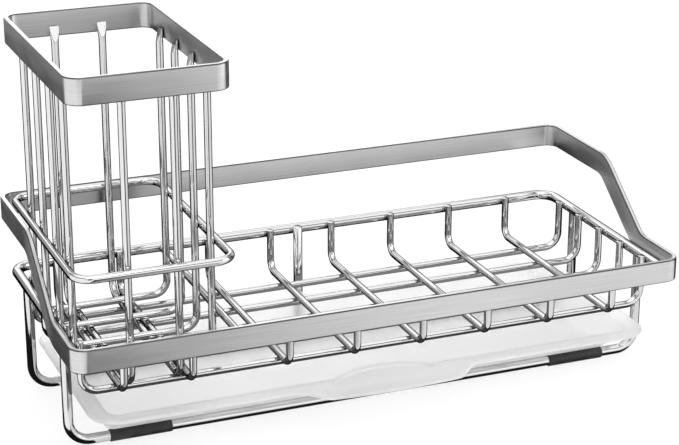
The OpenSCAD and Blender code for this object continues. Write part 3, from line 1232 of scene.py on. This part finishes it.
        # The walls turn softly into the flange's underside.
        under = [
            TrayRing(self.flange + 0.3 * MM, self.flange + 0.4 * MM, base - 0.4 * MM),
            even_ring(self.flange - self.soft, base),
        ]
        edge = [
            self.edge_ring(self.soft, base),
            self.edge_ring(0.0, base + self.soft),
            self.edge_ring(0.0, top - self.soft),
            self.edge_ring(self.soft, top),
        ]
        inner = list(reversed(self.floor_rings(self.floor_edge - self.wall)))
        return outer + under + edge + self.grip_rings(top) + inner

    def ring_places(self, ring: TrayRing, length: float, depth: float) -> list[Vector]:
        """Places of a ring: its round corners, and a row along the middle of the front.

        Args:
            ring: The ring.
            length: The tray's size along X.
            depth: The tray's size along Y, without the lip.

        Returns:
            The places, from the right side round, the same number for each ring.
        """
        corner = max(self.corner - ring.inset, self.least_corner)
        size = depth - ring.inset - ring.front
        shift = Vector((0, ring.front + size / 2, ring.height))
        outline = loop_outline(length - 2 * ring.inset, size, corner, self.corner_steps)
        places = [place + shift for place, _ in outline]
        reach = self.lip_flat + self.lip_sweep
        row = []
        for k in range(-self.half_row, self.half_row + 1):
            x = reach * k / self.half_row
            y, z = ring.grip(x) if ring.grip else (ring.front, ring.height)
            row.append(Vector((x, y, z)))
        last = self.corner_steps + 1
        return places[:-last] + row + places[-last:]

    def build(self) -> None:
        """Lofts the tray through its rings, and dresses it."""
        low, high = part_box("drip_tray")
        length, depth = high.x - low.x, high.y - low.y - self.lip_reach
        start = Vector(((low.x + high.x) / 2, high.y - depth, low.z))
        rings = self.rings()
        verts = [start + place for ring in rings for place in self.ring_places(ring, length, depth)]
        tray = make_object("drip_tray_moulding", verts, ring_faces(len(rings), len(verts) // len(rings)))
        dress(tray, self.finishes.plastic, "tray", "drip_tray")


@dataclass
class MirrorCard:
    """Level card that only mirroring surfaces see, to draw dark and bright lines in the metal.

    Attributes:
        name: Name of the card.
        near: One long edge: places along X and Y, each with the grey that the card shows there.
        far: The same number of places along the other long edge.
        height: How high it lies over the floor.
    """

    name: str
    near: tuple[Place, ...]
    far: tuple[Place, ...]
    height: float = 0.6 * MM

    def material(self) -> Material:
        """Builds the card's material: its grey from the mesh, and clear from below."""
        nodes = Nodes(bpy.data.materials.new(self.name))
        tone = nodes.add("ShaderNodeAttribute", attribute_name="tone")
        glow = nodes.add("ShaderNodeEmission", Strength=1.0)
        nodes.link(tone.outputs["Color"], glow.inputs["Color"])
        below = nodes.add("ShaderNodeNewGeometry").outputs["Backfacing"]
        clear = nodes.add("ShaderNodeBsdfTransparent")
        return nodes.finish_mixed(below, glow.outputs["Emission"], clear.outputs["BSDF"])

    def build(self) -> None:
        """Lays the card where mirroring surfaces find it and nothing else does."""
        corners, count = self.near + self.far, len(self.near)
        places = [Vector((x, y, self.height)) for x, y, _ in corners]
        faces = [(i, i + 1, count + i + 1, count + i) for i in range(count - 1)]
        card = make_object(self.name, places, faces)
        if card.data.polygons[0].normal.z < 0:
            card.data.flip_normals()
        layer = card.data.color_attributes.new(name="tone", type="FLOAT_COLOR", domain="POINT")
        for point, (_, _, tone) in zip(layer.data, corners):
            point.color = (tone, tone, tone, 1)
        card.data.materials.append(self.material())
        for ray in ("camera", "diffuse", "transmission", "volume_scatter", "shadow"):
            setattr(card, "visible_" + ray, False)


def card_row(depth: float, *stops: tuple[float, float]) -> tuple[Place, ...]:
    """Places at one depth, from (place along X, grey) pairs."""
    return tuple((x, depth, grey) for x, grey in stops)


@dataclass
class CardSet:
    """The cards behind, under and in front of the caddy.

    Attributes:
        front: Depth of the line before the caddy from which the front cards run out.
        split: Depth at which the two cards under the basket meet.
        under_height: Height of those two.
    """

    front: float = -0.064
    split: float = -0.034
    under_height: float = 23.5 * MM

    def build(self) -> None:
        """Lays every card."""
        for card in self.back_cards() + self.under_cards() + self.front_cards():
            card.build()

    def back_cards(self) -> list[MirrorCard]:
        """Dark card that runs out behind the caddy and past its ends, and one between its feet."""
        back = MirrorCard(
            "back_card",
            near=(
                (-0.121, -0.05, 0.01), (-0.12, -0.045, 0.01), (-0.119, 0.066, 0.01),
                (0.137, 0.066, 0.02), (0.15, 0.05, 0.02), (0.15, -0.03, 0.02),
            ),
            far=(
                (-1.1, 0.65, 0.02), (-0.62, 1.16, 0.03), (-0.59, 1.2, 0.06),
                (0.37, 1.24, 0.02), (1.9, 1.2, 0.02), (1.9, -0.3, 0.02),
            ),
        )
        ends = ((-0.105, 0.02), (0.13, 0.02))
        foot = MirrorCard("foot_card", near=card_row(-0.033, *ends), far=card_row(0.066, *ends))
        return [back, foot]

    def under_cards(self) -> list[MirrorCard]:
        """Cards under the basket: one for the front bends of its wires, one for their low runs."""
        left, right = -0.128, 0.128
        bend = MirrorCard(
            "bend_card",
            near=card_row(-0.054, (left, 0.03), (right, 0.03)),
            far=card_row(self.split, (left, 0.12), (right, 0.12)),
            height=self.under_height,
        )
        basket = MirrorCard(
            "basket_card",
            near=card_row(self.split, (left, 0.15), (right, 0.3)),
            far=card_row(0.05, (left, 0.2), (right, 0.4)),
            height=self.under_height,
        )
        return [bend, basket]

    def front_cards(self) -> list[MirrorCard]:
        """Bright card at the left, a thin dark line, and a card that brightens to the right."""
        left = MirrorCard(
            "left_card",
            near=(
                (-0.123, -0.05, 1.3), (-0.125, -0.055, 1.3),
                (-0.143, self.front, 1.3), (-0.142, self.front, 1.3),
            ),
            far=((-1.12, 0.6, 1.3), (-2.3, 0.2, 1.3), (-1.4, -1.7, 1.3), (-0.2, -2.06, 1.3)),
        )
        line = MirrorCard(
            "line_card",
            near=card_row(self.front, (-0.142, 0.01), (-0.141, 0.01)),
            far=((-0.16, -2.06, 0.02), (0.51, -1.95, 0.02)),
        )
        front = MirrorCard(
            "front_card",
            near=card_row(
                self.front,
                (-0.141, 0.22), (-0.139, 0.26), (-0.10, 0.56), (-0.03, 0.94), (0.03, 1.13), (0.07, 1.2),
            ),
            far=card_row(-1.95, (0.52, 0.22)) + card_row(
                -2.0, (0.643, 0.26), (0.682, 0.56), (0.752, 0.94), (0.812, 1.13), (0.852, 1.2)
            ),
        )
        return [left, line, front]


@dataclass(frozen=True)
class SoftLamp:
    """Square soft lamp that points at the caddy.

    Attributes:
        name: Name of the lamp.
        place: Where it hangs.
        size: Length of its side.
        power: Its power in watts.
        aim: The place that it points at.
    """

    name: str
    place: Place
    size: float
    power: float
    aim: Place = (0.0, 0.0, 0.06)

    def build(self) -> None:
        """Hangs the lamp."""
        data = bpy.data.lights.new(self.name, "AREA")
        data.size = self.size
        data.energy = self.power
        lamp = bpy.data.objects.new(self.name, data)
        lamp.location = self.place
        way = Vector(self.aim) - Vector(self.place)
        lamp.rotation_euler = way.to_track_quat("-Z", "Y").to_euler()
        bpy.context.scene.collection.objects.link(lamp)


@dataclass
class Studio:
    """Floor, cards, room, soft lamps and the camera at the photograph's place.

    Attributes:
        eye: Place of the camera.
        turn: Its turn about X, Y and Z, in degrees.
        focal_pixels: Focal length in the photograph's pixels.
        picture_width: Width of the photograph in pixels.
        sensor: Sensor width in millimetres.
        floor_reach: Distance from the caddy to each side of the floor.
        room_strength: Brightness of the room.
        wall_greys: Greys of the walls, by the share of a full turn from -X by way of -Y.
        ceiling_share: Share of the ceiling against the walls, by the sine of the angle over the horizon.
        ceiling_greys: Greys of the ceiling, with a dark rail round it, by the same sine.
        lamps: The soft lamps.
    """

    eye: Place = (-0.30557, -0.75246, 0.36647)
    turn: Place = (69.97, -0.009, -22.013)
    focal_pixels: float = 2015.84
    picture_width: float = 679
    sensor: float = 36
    floor_reach: float = 6.0
    room_strength: float = 1.45
    wall_greys: Greys = (
        (0.0, 1.0), (0.155, 1.0), (0.175, 0.03), (0.215, 0.03), (0.235, 1.0), (0.45, 1.0), (0.475, 0.05),
        (0.555, 0.05), (0.575, 0.9), (0.765, 0.9), (0.785, 0.5), (0.885, 0.5), (0.905, 1.0),
    )
    ceiling_share: Greys = ((0.0, 0.0), (0.36, 0.0), (0.42, 1.0))
    ceiling_greys: Greys = ((0.0, 1.0), (0.40, 1.0), (0.44, 0.25), (0.66, 0.25), (0.74, 1.0))
    lamps: tuple[SoftLamp, ...] = (
        SoftLamp("key_lamp", (-0.2, -0.75, 1.15), 0.9, 6),
        SoftLamp("side_lamp", (1.0, -0.55, 0.6), 0.6, 4),
        SoftLamp("back_lamp", (0.15, 1.3, 0.6), 1.1, 6),
    )

    def build(self) -> None:
        """Sets up floor, light and camera."""
        self.build_floor()
        self.build_room()
        CardSet().build()
        for lamp in self.lamps:
            lamp.build()
        self.build_camera()
        bpy.context.scene.view_settings.view_transform = "Standard"

    def build_camera(self) -> None:
        """Sets up the camera."""
        data = bpy.data.cameras.new("photo_camera")
        data.sensor_width = self.sensor
        data.lens = self.focal_pixels / self.picture_width * self.sensor
        camera = bpy.data.objects.new("photo_camera", data)
        camera.location = self.eye
        camera.rotation_euler = [math.radians(a) for a in self.turn]
        bpy.context.scene.collection.objects.link(camera)
        bpy.context.scene.camera = camera

    def build_floor(self) -> None:
        """Lays the floor under the caddy."""
        far = self.floor_reach
        corners = [Vector((x, y, 0)) for x, y in ((-far, -far), (far, -far), (far, far), (-far, far))]
        floor = make_object("studio_floor", corners, [(0, 1, 2, 3)])
        floor.data.materials.append(PaleFloor().material())

    def build_room(self) -> None:
        """Lights the room with pale walls, dark panels between them and a pale ceiling."""
        world = bpy.data.worlds.new("studio_room")
        bpy.context.scene.world = world
        nodes = Nodes(world)
        direction = nodes.split(nodes.add("ShaderNodeTexCoord").outputs["Generated"])
        turn = nodes.add("ShaderNodeMapRange")
        turn.inputs["From Min"].default_value = -math.pi
        turn.inputs["From Max"].default_value = math.pi
        nodes.link(nodes.calculate("ARCTAN2", direction["Y"], direction["X"]), turn.inputs["Value"])
        mix = nodes.add("ShaderNodeMix")
        nodes.link(nodes.greys(direction["Z"], self.ceiling_share), mix.inputs["Factor"])
        nodes.link(nodes.greys(turn.outputs["Result"], self.wall_greys), mix.inputs["A"])
        nodes.link(nodes.greys(direction["Z"], self.ceiling_greys), mix.inputs["B"])
        background = nodes.add("ShaderNodeBackground", Strength=self.room_strength)
        nodes.link(mix.outputs["Result"], background.inputs["Color"])
        nodes.link(background.outputs["Background"], nodes.output.inputs["Surface"])


def main() -> None:
    """Builds the caddy piece by piece, then the studio."""
    logging.basicConfig(level=logging.INFO, format="%(message)s")
    finishes = Finishes()
    Rack(finishes).build()
    Holder(finishes).build()
    DripTray(finishes).build()
    Studio().build()


if __name__ == "__main__":
    main()
